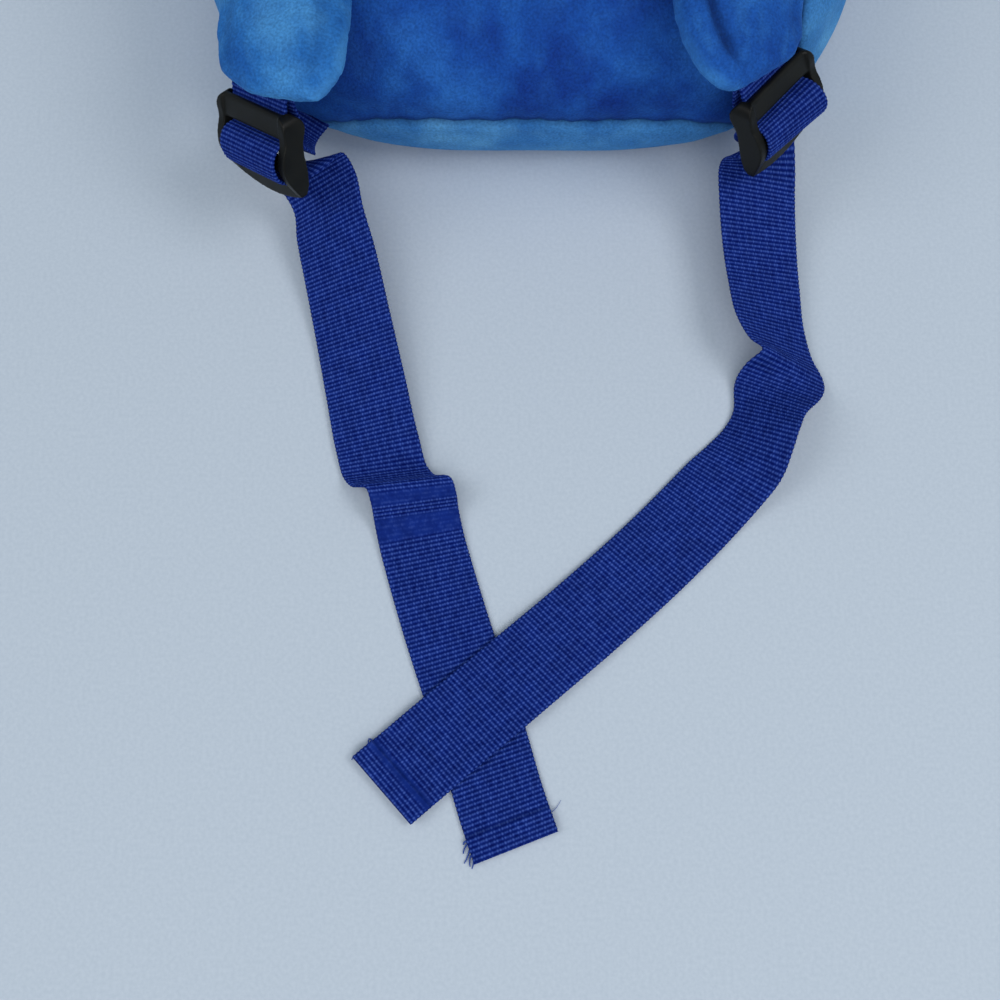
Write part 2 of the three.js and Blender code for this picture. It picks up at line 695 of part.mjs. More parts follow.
// A ladder-lock buckle: two bowed arms, an anchor bar, a wide flat bar, a grip bar and the tab.
function buckle() {
  const inner = BUCKLE_INNER / 2;
  const outer = inner + BUCKLE_ARM;
  const reach = inner + BAR_ROOT;
  let solid = tab();
  for (const shape of [roundBar(ANCHOR_BAR), flatBar(), roundBar(GRIP_BAR)]) {
    solid = solid.add(acrossBuckle(shape, -reach, reach, 5));
  }
  solid = solid.add(acrossBuckle(arm(), -outer, -inner, 2));
  solid = solid.add(acrossBuckle(arm(), inner, outer, 2));
  return geometryOf(solid.intersect(roundedPlan()));
}

// The free end is doubled over, so its last stretch is a thicker one that starts with a short step.
function hemmed(rows) {
  const end = rows[rows.length - 1];
  const before = rows[rows.length - 2];
  const back = new THREE.Vector3(before.x - end.x, before.y - end.y, before.z - end.z).normalize();
  const hemRow = (distance, thick) => ({
    ...end,
    x: end.x + back.x * distance,
    y: end.y + back.y * distance,
    z: end.z + back.z * distance + (thick - WEBBING_THICKNESS) / 2,
    thick,
  });
  const kept = rows.filter((row) => Math.hypot(row.x - end.x, row.y - end.y) > HEM_LENGTH + 2 * HEM_STEP);
  const step = hemRow(HEM_LENGTH + HEM_STEP, WEBBING_THICKNESS);
  return [...kept, step, hemRow(HEM_LENGTH, HEM_THICKNESS), hemRow(0, HEM_THICKNESS)];
}

// Looks of each kind of piece.
const DARK_PLUSH = new THREE.MeshStandardMaterial({ color: 0x1a4896, roughness: 0.95 });
const LIGHT_PLUSH = new THREE.MeshStandardMaterial({ color: 0x336eb0, roughness: 0.95 });
const WEBBING = new THREE.MeshStandardMaterial({ color: 0x192e74, roughness: 0.8 });
const PLASTIC = new THREE.MeshStandardMaterial({ color: 0x1c2124, roughness: 0.4 });

const backpack = new THREE.Group();

function addPiece(name, geometry, material) {
  const piece = new THREE.Mesh(geometry, material);
  piece.name = name;
  backpack.add(piece);
  return piece;
}

const slots = ["left", "right"].map((side) =>
  solidOf(sweep(webbingRows(side).slice(0, 3), webbingSection(GAP))),
);

function cutPanel(middle, wall, facing) {
  let solid = solidOf(panel(middle, wall, facing)).subtract(zipSlot());
  for (const slot of slots) solid = solid.subtract(slot);
  return geometryOf(solid);
}

addPiece("back_panel", cutPanel(BACK_MIDDLE, [...WALL_ROWS].reverse(), 1), DARK_PLUSH);
addPiece("front_panel", cutPanel(FRONT_MIDDLE, WALL_ROWS, -1), LIGHT_PLUSH);
addPiece("zip", zip(), WEBBING);
for (const side of ["left", "right"]) {
  const loop = smoothRows(loopRows(side), LOOP_SPACING);
  const turn = Math.floor(loop.length / 2);
  const strap = solidOf(sweep(smoothRows(STRAP_ROWS[side], STRAP_SPACING), strapSection));
  const socket = folded(drawnOut(loop, 2 * GAP), turn, webbingSection(SOCKET_GAP));
  addPiece(`shoulder_strap_${side}`, geometryOf(strap.subtract(socket)), LIGHT_PLUSH);
  addPiece(`strap_loop_${side}`, geometryOf(folded(loop, turn, webbingSection(0))), WEBBING);
  const lock = addPiece(`buckle_${side}`, buckle(), PLASTIC);
  buckleMatrix(BUCKLE_POSES[side]).decompose(lock.position, lock.quaternion, lock.scale);
  const webbing = hemmed(smoothRows(webbingRows(side), WEBBING_SPACING));
  const heights = webbing.map((row) => row.z);
  const crest = heights.indexOf(Math.max(...heights));
  addPiece(`webbing_${side}`, geometryOf(folded(webbing, crest, webbingSection(0))), WEBBING);
}

export default backpack;
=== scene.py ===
import math

import bpy
import numpy as np
from mathutils import Matrix, Vector, kdtree, noise


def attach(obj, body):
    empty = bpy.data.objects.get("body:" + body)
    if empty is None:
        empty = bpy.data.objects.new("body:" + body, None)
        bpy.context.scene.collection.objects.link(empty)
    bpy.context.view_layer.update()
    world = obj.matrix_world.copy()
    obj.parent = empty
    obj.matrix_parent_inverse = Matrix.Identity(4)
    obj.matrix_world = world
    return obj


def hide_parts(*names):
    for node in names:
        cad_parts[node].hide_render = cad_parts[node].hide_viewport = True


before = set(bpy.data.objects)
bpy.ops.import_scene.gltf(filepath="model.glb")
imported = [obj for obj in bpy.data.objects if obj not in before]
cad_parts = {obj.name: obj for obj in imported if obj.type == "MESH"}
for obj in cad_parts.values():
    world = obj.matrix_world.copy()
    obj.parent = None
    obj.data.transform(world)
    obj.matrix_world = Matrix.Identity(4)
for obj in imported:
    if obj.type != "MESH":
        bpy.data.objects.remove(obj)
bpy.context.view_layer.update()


# Back panel: the dark plush oval that lies against the wearer's back.
# It is knitted pile cloth with a soft backing, sewn face to face with the front panel along one seam
# round the whole bag, so the cloth dips into that seam and puckers a little beside it.
MM = 0.001
BAG_HALF_WIDTH = 105
BAG_HALF_HEIGHT = 130.5
USUAL_RADIUS = 118
BOTTOM_POWER = 3.2
TOP_POWER = 2.3
PLUSH_WALL = 2.6
BOTTOM_SLACK = 1.6
SLACK_SPREAD = 17
SLACK_RISE = (0, 9)
OFF_FLOOR = (3, 15)
SEAM_EASE = (-1.5, -0.5, 0.5, 1.5)
SEAM_HALF_GAP = 0.1
SEAM_DIP = 1.0
SEAM_DIP_WIDTH = 2.2
SEAM_SHADE = 0.7
SEAM_SHADE_WIDTH = 1.4
PUCKER_DEPTH = 0.35
PUCKER_LENGTH = 1.25
PUCKER_REACH = 7
PUCKER_UNEVEN = 2.5
UNEVEN_LENGTH = 9
ZIP_HEIGHT = 30
ZIP_HALF_GAP = 6
ZIP_FROM = math.radians(28)
ZIP_TO = math.radians(152)
ZIP_END_OUTSIDE = 0.05
ZIP_END_INSIDE = 0.02

# Swells of the cloth: height, size, and a shift that sets one apart from the others.
PANEL_SWELLS = [(0.9, 40, 0), (0.5, 15, 200)]

# Shares of the way from a panel's middle to the seam, closer together near the seam.
PANEL_SIDES = 360
PANEL_SHARES = np.concatenate([np.linspace(0.012, 0.66, 22), np.linspace(0.675, 1, 44)])

# Sizes of the patches, brush strokes and tufts of the pile.
NAP_SIZE = 30
BRUSH_SIZE = 7
TUFT_SIZE = 0.75

# Height of the seam at a direction counted either way from the bottom of the bag, in degrees.
SEAM_ROWS = [
    (0, 29.7),
    (12, 29.0),
    (20, 26.0),
    (24, 20.5),
    (28, 14.5),
    (33.5, 14.5),
    (36, 42.0),
    (38, 50.0),
    (42, 53.0),
    (64, 52.0),
    (90, 44.0),
    (114, 30.0),
    (180, 30.0),
]

# Rows over the whole bag, from the middle of the front panel to the middle of the back panel:
# share of the seam's radius, inset, height.
BAG_ROWS = [
    (0.00, 0.0, 0.0),
    (0.55, 0.0, 0.0),
    (1.00, 24.0, 0.0),
    (1.00, 11.0, 2.0),
    (1.00, 3.0, 7.0),
    (1.00, -0.8, 14.0),
    (1.00, -1.5, 22.0),
    (1.00, 0.0, 30.0),
    (1.00, 0.8, 38.0),
    (1.00, 5.0, 45.5),
    (1.00, 14.0, 53.0),
    (1.00, 30.0, 59.0),
    (0.55, 0.0, 63.5),
    (0.28, 0.0, 65.5),
    (0.00, 0.0, 66.0),
]


def smooth_rows(rows, spans, spacing):
    """Rows filled in along a smooth curve that passes through each of them."""
    rows = np.asarray(rows, float)
    spans = np.asarray(spans, float)[:, None]
    rise = np.diff(rows, axis=0) / spans
    slope = np.vstack([rise[:1], rise])
    slope[1:-1] = (rise[:-1] * spans[1:] + rise[1:] * spans[:-1]) / (spans[1:] + spans[:-1])
    filled = []
    for i, span in enumerate(spans[:, 0]):
        steps = max(2, round(span / spacing))
        t = np.arange(steps)[:, None] / steps
        leaving = slope[i] * span * t * (1 - t) ** 2
        arriving = slope[i + 1] * span * t * t * (1 - t)
        filled.append(rows[i] + (rows[i + 1] - rows[i]) * t * t * (3 - 2 * t) + leaving - arriving)
    return np.vstack([*filled, rows[-1:]])


def smoothstep(low, high, value):
    t = np.clip((value - low) / (high - low), 0, 1)
    return t * t * (3 - 2 * t)


def bell(distance, width):
    return np.exp(-((distance / width) ** 2))


def seam_radius(angle):
    """Plan radius of the seam in a direction from the middle of the bag."""
    power = np.where(np.sin(angle) < 0, BOTTOM_POWER, TOP_POWER)
    across = np.abs(np.cos(angle)) / BAG_HALF_WIDTH
    up = np.abs(np.sin(angle)) / BAG_HALF_HEIGHT
    return (across**power + up**power) ** (-1 / power)


def soft_noise(points, size):
    """Smooth noise at each point, from about -1 to 1, with bumps of about that size."""
    flat = points.reshape(-1, 3) / size
    return np.array([noise.noise(p) for p in flat]).reshape(points.shape[:-1])


def swelled(points, swells):
    """How far each point is lifted by a table of swells."""
    return sum(height * soft_noise(points + shift, size) for height, size, shift in swells)


def new_piece(name, points, faces):
    """A smooth-shaded mesh object from points in millimetres."""
    mesh = bpy.data.meshes.new(name)
    mesh.from_pydata((np.asarray(points) * MM).tolist(), [], [list(map(int, f)) for f in faces])
    mesh.validate()
    mesh.shade_smooth()
    piece = bpy.data.objects.new(name, mesh)
    bpy.context.scene.collection.objects.link(piece)
    return piece


def grid_faces(rows, columns, closed=False, start=0):
    """Quads between neighbouring rows of points, closed round the columns where asked."""
    row, column = np.meshgrid(np.arange(rows - 1), np.arange(columns - (not closed)), indexing="ij")
    after = (column + 1) % columns
    a, b = row * columns + column, row * columns + after
    return np.stack([a, b, b + columns, a + columns], -1).reshape(-1, 4) + start


def from_bottom(angle):
    """Degrees between a direction and the bottom of the bag, counted either way."""
    return np.degrees(np.arccos(-np.sin(angle)))


def seam_height(angle):
    """Height of the seam in a direction, eased over a few degrees as cloth does."""
    directions, heights = np.array(SEAM_ROWS).T
    nearby = [np.interp(np.abs(from_bottom(angle) + ease), directions, heights) for ease in SEAM_EASE]
    return sum(nearby) / len(nearby)


def plush_panel(name, facing):
    """One panel from its middle to the seam, thickened towards the inside of the bag."""
    rows = np.array(BAG_ROWS)
    flat = np.stack([rows[:, 0] * USUAL_RADIUS - rows[:, 1], rows[:, 2]], -1)
    dense = smooth_rows(rows, np.linalg.norm(np.diff(flat, axis=0), axis=1), 0.5)
    dense[:, 2] = np.maximum(dense[:, 2], 0)
    flat = np.stack([dense[:, 0] * USUAL_RADIUS - dense[:, 1], dense[:, 2]], -1)
    length = np.concatenate([[0], np.cumsum(np.linalg.norm(np.diff(flat, axis=0), axis=1))])
    angle = np.linspace(0, 2 * np.pi, PANEL_SIDES, endpoint=False)
    zipped = smoothstep(ZIP_FROM - ZIP_END_OUTSIDE, ZIP_FROM + ZIP_END_INSIDE, angle)
    zipped = zipped * (1 - smoothstep(ZIP_TO - ZIP_END_INSIDE, ZIP_TO + ZIP_END_OUTSIDE, angle))
    rim_height = seam_height(angle) + facing * (SEAM_HALF_GAP + ZIP_HALF_GAP * zipped)
    wall = (dense[:, 0] > 0.999) & (dense[:, 2] > 1)
    rim = np.interp(rim_height, dense[wall, 2], length[wall])
    start = length[-1] if facing > 0 else 0
    where = start + (rim - start) * PANEL_SHARES[:, None]
    columns = [np.interp(where, length, dense[:, k]) for k in range(3)]
    radius = columns[0] * seam_radius(angle) - columns[1]
    points = np.stack([radius * np.cos(angle), radius * np.sin(angle), columns[2]], -1)
    outwards = np.gradient(points, axis=0)
    round_it = np.roll(points, -1, axis=1) - np.roll(points, 1, axis=1)
    normal = np.cross(outwards, round_it) * facing
    normal /= np.linalg.norm(normal, axis=-1, keepdims=True)
    from_rim = np.abs(rim - where)
    along_seam = angle * USUAL_RADIUS
    uneven = PUCKER_UNEVEN * np.sin(along_seam / UNEVEN_LENGTH)
    pucker = PUCKER_DEPTH * (np.sin(along_seam / PUCKER_LENGTH + uneven) * np.exp(-from_rim / PUCKER_REACH))
    off_floor = smoothstep(*OFF_FLOOR, points[..., 2])
    slack = BOTTOM_SLACK * bell(from_bottom(angle), SLACK_SPREAD) * smoothstep(*SLACK_RISE, from_rim)
    slack = slack * (facing < 0)
    lift = off_floor * (swelled(points, PANEL_SWELLS) + pucker - slack)
    lift = lift - SEAM_DIP * bell(from_rim, SEAM_DIP_WIDTH)
    points = points + normal * lift[..., None]
    count, around = points.shape[:2]
    middle = [[0, 0, dense[-1 if facing > 0 else 0, 2]]]
    faces = list(grid_faces(count, around, closed=True))
    faces += [(count * around, (i + 1) % around, i) for i in range(around)]
    if facing > 0:
        faces = [f[::-1] for f in faces]
    piece = new_piece(name, np.vstack([points.reshape(-1, 3), middle]), faces)
    # Painted shade darkens the cloth in a narrow band along the seam.
    mark(piece, "shaded_crease", [*(SEAM_SHADE * bell(from_rim, SEAM_SHADE_WIDTH)).ravel(), 0])
    thick = piece.modifiers.new("wall", "SOLIDIFY")
    thick.thickness = PLUSH_WALL * MM
    thick.offset = -1
    return piece


def colour(red, green, blue):
    """A shader colour from the 0 to 255 values of a swatch."""
    def linear(c):
        c /= 255
        return c / 12.92 if c <= 0.04045 else ((c + 0.055) / 1.055) ** 2.4
    return (linear(red), linear(green), linear(blue), 1)


def grey(value):
    return (value, value, value, 1)


def new_material(name, values):
    """A material with these values on its shader, with its node tree and that shader."""
    material = bpy.data.materials.new(name)
    material.use_nodes = True
    shader = material.node_tree.nodes["Principled BSDF"]
    for socket, value in values.items():
        shader.inputs[socket].default_value = value
    return material, material.node_tree, shader


def noise_texture(tree, size_mm, detail, stretch=None):
    """A noise over the piece's own place, with bumps of about that size."""
    place = tree.nodes.new("ShaderNodeTexCoord").outputs["Object"]
    if stretch:
        mapping = tree.nodes.new("ShaderNodeMapping")
        mapping.inputs["Scale"].default_value = stretch
        tree.links.new(place, mapping.inputs["Vector"])
        place = mapping.outputs["Vector"]
    texture = tree.nodes.new("ShaderNodeTexNoise")
    texture.inputs["Scale"].default_value = 1000 / size_mm
    texture.inputs["Detail"].default_value = detail
    tree.links.new(place, texture.inputs["Vector"])
    return texture.outputs["Fac"]


def ramp(tree, value, stops):
    """Colours at places along a value from 0 to 1."""
    node = tree.nodes.new("ShaderNodeValToRGB")
    while len(node.color_ramp.elements) < len(stops):
        node.color_ramp.elements.new(0.5)
    for element, (place, tone) in zip(node.color_ramp.elements, stops):
        element.position = place
        element.color = tone
    tree.links.new(value, node.inputs["Fac"])
    return node.outputs["Color"]


def mixed(tree, blend, factor, first, second):
    """Two colours mixed. A factor, first or second colour is a socket or a plain value."""
    node = tree.nodes.new("ShaderNodeMix")
    node.data_type = "RGBA"
    node.blend_type = blend
    for socket, value in zip((node.inputs[0], node.inputs[6], node.inputs[7]), (factor, first, second)):
        if hasattr(value, "is_output"):
            tree.links.new(value, socket)
        else:
            socket.default_value = value
    return node.outputs[2]


def bumped(tree, shader, height, strength, distance_mm, before=None):
    """A bump on the shader, on top of the one made before it."""
    node = tree.nodes.new("ShaderNodeBump")
    node.inputs["Strength"].default_value = strength
    node.inputs["Distance"].default_value = distance_mm * MM
    tree.links.new(height, node.inputs["Height"])
    if before:
        tree.links.new(before, node.inputs["Normal"])
    tree.links.new(node.outputs["Normal"], shader.inputs["Normal"])
    return node.outputs["Normal"]


def mark(piece, name, amounts):
    """A value at each point of a piece, for its material to read."""
    marks = piece.data.attributes.new(name, "FLOAT", "POINT")
    marks.data.foreach_set("value", np.asarray(amounts, np.float32).ravel())


def marked(tree, name):
    node = tree.nodes.new("ShaderNodeAttribute")
    node.attribute_name = name
    return node.outputs["Fac"]


def plush(name, deep, usual, pale, sheen):
    """Short pile: patches where it leans away are deep, where it leans towards the light pale, the cloth's
    own patchy nap with painted sheen on it.
    """
    surface = {"Roughness": 0.92, "Specular IOR Level": 0.15}
    surface.update({"Sheen Weight": sheen, "Sheen Roughness": 0.38, "Sheen Tint": pale})
    material, tree, shader = new_material(name, surface)
    tufts = noise_texture(tree, TUFT_SIZE, 2)
    strokes = noise_texture(tree, BRUSH_SIZE, 3, (1, 0.55, 1))
    nap = ramp(tree, noise_texture(tree, NAP_SIZE, 3), [(0.36, deep), (0.5, usual), (0.64, pale)])
    brushed = ramp(tree, strokes, [(0.32, deep), (0.5, usual), (0.7, pale)])
    fibres = ramp(tree, tufts, [(0.3, grey(0.72)), (0.7, grey(1.25))])
    tone = mixed(tree, "MULTIPLY", 0.8, mixed(tree, "MIX", 0.3, nap, brushed), fibres)
    # Painted sheen: the colour is mixed towards the pale tone where a piece marks its rims.
    tone = mixed(tree, "MIX", marked(tree, "rim_sheen"), tone, pale)
    # Painted shade: the colour is darkened where a piece marks a seam, a stitch line or a valley.
    tone = mixed(tree, "MULTIPLY", marked(tree, "shaded_crease"), tone, (0.3, 0.34, 0.42, 1))
    tree.links.new(tone, shader.inputs["Base Color"])
    first = bumped(tree, shader, tufts, 0.5, 0.5)
    bumped(tree, shader, noise_texture(tree, 5, 2), 0.25, 1.5, first)
    return material


dark_plush = plush("dark_plush", colour(13, 50, 130), colour(23, 75, 157), colour(42, 104, 184), 0.32)
back_panel = plush_panel("back_panel_plush", 1)
back_panel.data.materials.append(dark_plush)
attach(back_panel, "root")
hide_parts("back_panel")


# Front panel: the light plush half that the bag lies on, whose edge shows as a band below the seam.
# It is the same pile cloth in a paler blue, and it is flat where the bag's weight presses it down.
light_plush = plush("light_plush", colour(46, 108, 176), colour(63, 128, 190), colour(92, 158, 210), 0.4)
front_panel = plush_panel("front_panel_plush", -1)
front_panel.data.materials.append(light_plush)
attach(front_panel, "root")
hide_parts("front_panel")


# Zip: a dark blue coil zip that closes the top of the bag, sewn into the seam between both panels.
# Two woven tapes lean towards each other, the nylon coil meshes between them, and a small painted
# slider with a pull tab sits at one end.
ZIP_RADIUS = 121
ZIP_STEPS = 170
TAPE_ROWS = [(-3.4, -5.7), (0.4, 0.0), (0.9, 5.7)]
TAPE_THICKNESS = 1.6
TAPE_END = 0.004
COIL_PITCH = 1.3
COIL_TOOTH = (0.95, 2.5, 1.3)
COIL_STAGGER = 0.35
OUTER_NARROWED = 0.7
COIL_INSET = -0.1
COIL_END = 0.02
SLIDER_SIZE = (8.5, 6.4, 3.4)
SLIDER_INSET = -1.2
SLIDER_END = 0.05
SLIDER_STEP = 0.02
PULL_SIZE = (13, 4.4, 1.2)
PULL_ALONG = 8
PULL_OUT = 1.6


def tube_faces(rings, sides, start=0):
    """Quads round a tube of rings of points, with a cap on its first and its last ring."""
    last = start + (rings - 1) * sides
    caps = [range(start + sides - 1, start - 1, -1), range(last, last + sides)]
    return [*grid_faces(rings, sides, closed=True, start=start), *caps]


def seam_place(angle, inset, height):
    radius = seam_radius(angle) - inset
    return np.stack([radius * np.cos(angle), radius * np.sin(angle), height + 0 * angle], -1)


def boxes(middles, across, up, out, size):
    """Points and faces of many small boxes with narrowed outer faces, one at each place."""
    corner = np.array([(x, y, z) for z in (-1, 1) for y in (-1, 1) for x in (-1, 1)], float) / 2
    corner[4:, :2] *= OUTER_NARROWED
    corner = corner * size
    points = middles[:, None] + np.einsum("ck,nkd->ncd", corner, np.stack([across, up, out], 1))
    sides = np.array([(0, 1, 3, 2), (4, 6, 7, 5), (0, 4, 5, 1), (2, 3, 7, 6), (0, 2, 6, 4), (1, 5, 7, 3)])
    faces = (np.arange(len(middles)) * 8)[:, None, None] + sides
    return points.reshape(-1, 3), faces.reshape(-1, 4)


zip_angles = np.linspace(ZIP_FROM + TAPE_END, ZIP_TO - TAPE_END, ZIP_STEPS)
tape_section = [*TAPE_ROWS, *((inset + TAPE_THICKNESS, height) for inset, height in TAPE_ROWS[::-1])]
tape_lines = [seam_place(zip_angles, inset, ZIP_HEIGHT + height) for inset, height in tape_section]
tape_rings = np.stack(tape_lines, 1)
zip_tape = new_piece("zip_tape", tape_rings.reshape(-1, 3), tube_faces(ZIP_STEPS, len(tape_section)))

coil_count = int((ZIP_TO - ZIP_FROM) * ZIP_RADIUS / COIL_PITCH)
coil_angles = np.linspace(ZIP_FROM + COIL_END, ZIP_TO - COIL_END, coil_count)
coil_sides = np.where(np.arange(coil_count) % 2, 1, -1)[:, None]
coil_middles = seam_place(coil_angles, COIL_INSET, ZIP_HEIGHT) + [0, 0, COIL_STAGGER] * coil_sides
coil_along = np.gradient(coil_middles, axis=0)
coil_along[:, 2] = 0
coil_along /= np.linalg.norm(coil_along, axis=1, keepdims=True)
coil_up = np.tile([0.0, 0.0, 1.0], (coil_count, 1))
coil_out = np.cross(coil_along, coil_up)
coil_out *= np.sign((coil_out * coil_middles).sum(1, keepdims=True))
zip_coil = new_piece("zip_coil", *boxes(coil_middles, coil_along, coil_up, coil_out, COIL_TOOTH))
zip_coil.data.shade_flat()

slider_angles = ZIP_FROM + SLIDER_END + np.array([[-SLIDER_STEP], [0], [SLIDER_STEP]])
slider_before, slider_middle, slider_after = seam_place(slider_angles, SLIDER_INSET, ZIP_HEIGHT)
slider_along = slider_after - slider_before
slider_along /= np.linalg.norm(slider_along)
slider_out = np.array([[slider_along[0, 1], -slider_along[0, 0], 0]])
slider_up = np.array([[0.0, 0.0, 1.0]])
body_points, body_faces = boxes(slider_middle, slider_along, slider_up, slider_out, SLIDER_SIZE)
pull_middle = slider_middle + slider_along * PULL_ALONG + slider_out * PULL_OUT
pull_points, pull_faces = boxes(pull_middle, slider_along, slider_up, slider_out, PULL_SIZE)
slider_faces = np.vstack([body_faces, pull_faces + len(body_points)])
zip_slider = new_piece("zip_slider", np.vstack([body_points, pull_points]), slider_faces)
slider_bevel = zip_slider.modifiers.new("bevel", "BEVEL")
slider_bevel.width = 0.5 * MM
slider_bevel.segments = 3


def zip_cloth():
    material, tree, shader = new_material("zip_cloth", {"Roughness": 0.75})
    weave = noise_texture(tree, 0.5, 1, (1, 1, 3))
    tone = ramp(tree, weave, [(0.3, colour(14, 27, 78)), (0.7, colour(28, 50, 122))])
    tree.links.new(tone, shader.inputs["Base Color"])
    bumped(tree, shader, weave, 0.4, 0.3)
    return material


zip_material = zip_cloth()
for zip_piece in (zip_tape, zip_coil, zip_slider):
    zip_piece.data.materials.append(zip_material)
    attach(zip_piece, "root")
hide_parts("zip")


# Shoulder straps: two padded bands of light plush, sewn to the back panel at the top of the bag.
# Each is a turned sleeve over soft foam, so its edges roll round and a shallow valley follows the seam
# inside each edge. They arch over the panel and their noses hang over its bottom edge.

# Rows from the sewn top to the nose: middle, plan direction and tilt of the width, half width, thickness.
STRAP_ROWS = {
    "left": [
        (-33.0, 98.0, 59.9, -8, 0, 13.0, 4.0),
        (-36.0, 86.0, 64.0, -8, 0, 17.0, 7.0),
        (-45.0, 55.0, 78.0, -9, 0, 20.0, 11.0),
        (-57.0, 5.0, 86.0, -8, 2, 21.0, 11.0),
        (-64.0, -45.0, 80.0, -5, 5, 21.5, 11.0),
        (-68.1, -88.0, 67.0, -2, 11, 21.8, 11.0),
        (-69.1, -112.0, 61.5, -4, 15, 20.8, 11.0),
        (-69.7, -126.5, 61.2, -10, 18, 20.1, 10.5),
        (-70.3, -135.0, 60.9, -14, 20, 18.2, 9.2),
        (-69.2, -140.5, 60.6, -18, 21, 12.2, 7.0),
    ],
    "right": [
        (33.0, 98.0, 59.9, 8, 0, 13.0, 4.0),
        (36.0, 86.0, 64.0, 8, 0, 17.0, 7.0),
        (43.0, 55.0, 78.0, 8, 0, 20.0, 11.0),
        (50.0, 5.0, 86.0, 6, -2, 21.0, 11.0),
        (54.0, -45.0, 80.0, 3, -4, 21.5, 11.0),
        (55.8, -88.0, 67.5, 3, -8, 22.0, 11.0),
        (57.0, -108.0, 63.5, 15, -11, 21.2, 11.0),
        (58.3, -121.5, 61.2, 26, -14, 19.2, 10.5),
        (60.7, -128.2, 60.2, 32, -15, 17.4, 9.2),
        (62.8, -132.6, 59.4, 38, -15, 13.6, 7.0),
    ],
}

# Valleys along a strap's upper face: which edge, distance from it, depth, half width, reach from the nose.
STRAP_VALLEYS = {
    "left": [(-1, 6.0, 0.5, 2.2, 400), (1, 6.5, 0.7, 2.2, 400)],
    "right": [(-1, 8.0, 2.2, 1.5, 62), (1, 5.0, 0.5, 2.2, 400)],
}
DEEPEST_VALLEY = 2.2
VALLEY_END = 15
NOSE_FADE = (2, 11)
STRAP_SWELLS = [(0.4, 14, 0), (0.15, 6, 90), (0.14, 0.9, 0)]
STRAP_SIDES = 28
STRAP_SPACING = 3
FINE_SPACING = 0.5
STRAP_SQUARENESS = 0.72
END_LENGTH = 1.2
END_SHARES = (0.85, 0.6)
STRAP_VOXEL = 2.4
FOAM_SWELL = 2.2
FOAM_PRESSURE = 4
FOAM_TICKS = 20
STITCH_LINE = 5
STITCH_WIDTH = 1.1
STITCH_DEPTH = 1.1
UPPER_FACE = (-0.1, 0.4)
RIM_SHEEN_REACH = (-2.2, 0.6)
RIM_SHEEN_SHARE = 0.5


def row_frames(rows):
    """The middle, the width's direction and the face's direction at each row of a strap or webbing."""
    middles = rows[:, :3]
    turn, bank = np.radians(rows[:, 3]), np.radians(rows[:, 4])
    side = np.stack([np.cos(turn) * np.cos(bank), np.sin(turn) * np.cos(bank), np.sin(bank)], -1)
    face = np.cross(np.gradient(middles, axis=0), side)
    return middles, side, face / np.linalg.norm(face, axis=1, keepdims=True)


def chords(rows):
    return np.linalg.norm(np.diff(np.asarray(rows, float)[:, :3], axis=0), axis=1)


def settled(piece):
    """The piece with its modifiers made real."""
    made = bpy.data.meshes.new_from_object(piece.evaluated_get(bpy.context.evaluated_depsgraph_get()))
    piece.modifiers.clear()
    piece.data = made
    return piece


def mesh_points(piece):
    points = np.empty(len(piece.data.vertices) * 3, np.float32)
    piece.data.vertices.foreach_get("co", points)
    return points.reshape(-1, 3).astype(float)


def set_points(piece, points):
    piece.data.vertices.foreach_set("co", points.astype(np.float32).ravel())
    piece.data.update()


def mesh_normals(piece):
    normals = np.empty(len(piece.data.vertices) * 3, np.float32)
    piece.data.vertex_normals.foreach_get("vector", normals)
    return normals.reshape(-1, 3).astype(float)


def sleeve_rings(rows):
    """Rings of points round a strap, one for each of its rows."""
    middles, width, face = row_frames(rows)
    turn = np.linspace(0, 2 * np.pi, STRAP_SIDES, endpoint=False)
    oval = np.stack([np.cos(turn), np.sin(turn)])
    oval = np.sign(oval) * np.abs(oval) ** STRAP_SQUARENESS
    rings = middles[:, None] + width[:, None] * (rows[:, 5:6] * oval[0])[..., None]
    return rings + face[:, None] * (rows[:, 6:7] / 2 * oval[1])[..., None]


def puffed(piece, most):
    """The sleeve is blown up by its foam, no point moving further than most."""
    remesh = piece.modifiers.new("even", "REMESH")
    remesh.mode = "VOXEL"
    remesh.voxel_size = STRAP_VOXEL * MM
    settled(piece)
    start = mesh_points(piece)
    cloth = piece.modifiers.new("foam", "CLOTH")
    cloth.settings.use_pressure = True
    cloth.settings.uniform_pressure_force = FOAM_PRESSURE
    cloth.settings.effector_weights.gravity = 0
    for tick in range(1, FOAM_TICKS + 1):
        bpy.context.scene.frame_set(tick)
    settled(piece)
    bpy.context.scene.frame_set(1)
    moved = mesh_points(piece) - start
    far = np.linalg.norm(moved, axis=1, keepdims=True)
    set_points(piece, start + moved * np.minimum(1, most * MM / np.maximum(far, 1e-9)))
    finer = piece.modifiers.new("finer", "SUBSURF")
    finer.levels = finer.render_levels = 2
    return settled(piece)
